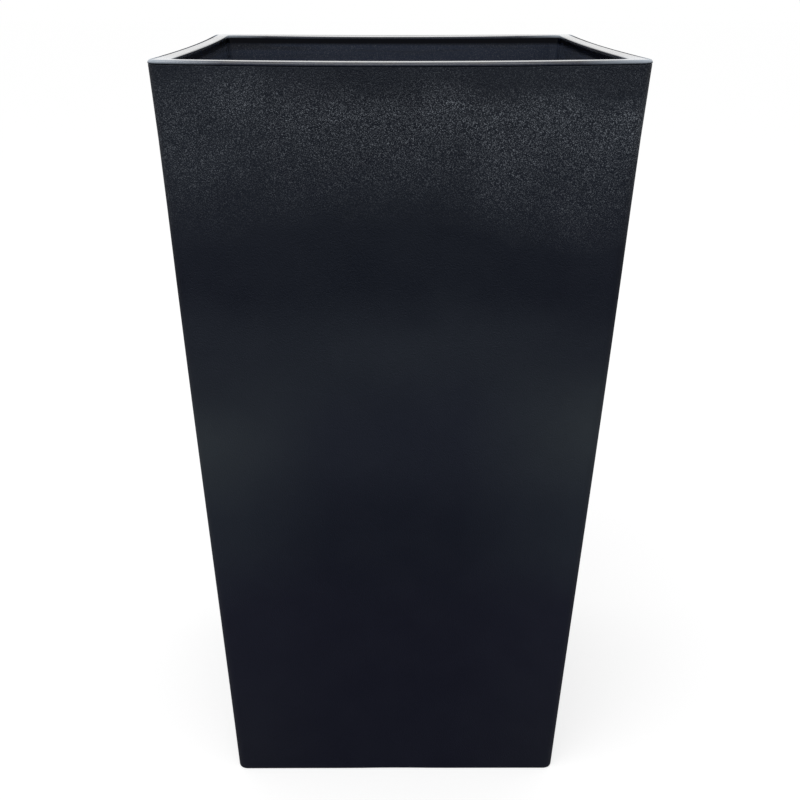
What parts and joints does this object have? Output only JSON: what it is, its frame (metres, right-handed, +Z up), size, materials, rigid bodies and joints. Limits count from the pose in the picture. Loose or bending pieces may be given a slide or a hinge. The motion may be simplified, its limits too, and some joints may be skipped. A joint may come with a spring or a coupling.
{
  "type": "tall square planter",
  "caption": "Tall tapered square floor planter: a thin-walled shell on a foot skirt, a flanged drop-in liner that forms the flat rim, and rubber plugs in the floor's drain holes.",
  "frame": {"origin": "on the ground at the middle of the base", "axes": "+Z up, front towards -Y, +X to the right when seen from the front"},
  "size_m": [0.3956, 0.3956, 0.711],
  "materials": {
    "shell_plastic": "blue-black moulded plastic with a fine pebbled grain",
    "liner_plastic": "blue-black moulded plastic, smoother than the shell",
    "plug_rubber": "soft black rubber"
  },
  "bodies": {
    "shell": {"outer_shell": "shell_plastic"},
    "liner": {"inner_liner": "liner_plastic"},
    "plug_1": {"drain_plug_1": "plug_rubber"},
    "plug_2": {"drain_plug_2": "plug_rubber"},
    "plug_3": {"drain_plug_3": "plug_rubber"},
    "plug_4": {"drain_plug_4": "plug_rubber"}
  },
  "joints": [
    {"name": "liner_lift", "type": "slide", "parent": "shell", "child": "liner", "axis": [0, 0, 1], "range_m": [0, 0.6]},
    {"name": "plug_1_pull", "type": "slide", "parent": "shell", "child": "plug_1", "axis": [0, 0, 1], "range_m": [0, 0.06]},
    {"name": "plug_2_pull", "type": "slide", "parent": "shell", "child": "plug_2", "axis": [0, 0, 1], "range_m": [0, 0.06]},
    {"name": "plug_3_pull", "type": "slide", "parent": "shell", "child": "plug_3", "axis": [0, 0, 1], "range_m": [0, 0.06]},
    {"name": "plug_4_pull", "type": "slide", "parent": "shell", "child": "plug_4", "axis": [0, 0, 1], "range_m": [0, 0.06]}
  ]
}
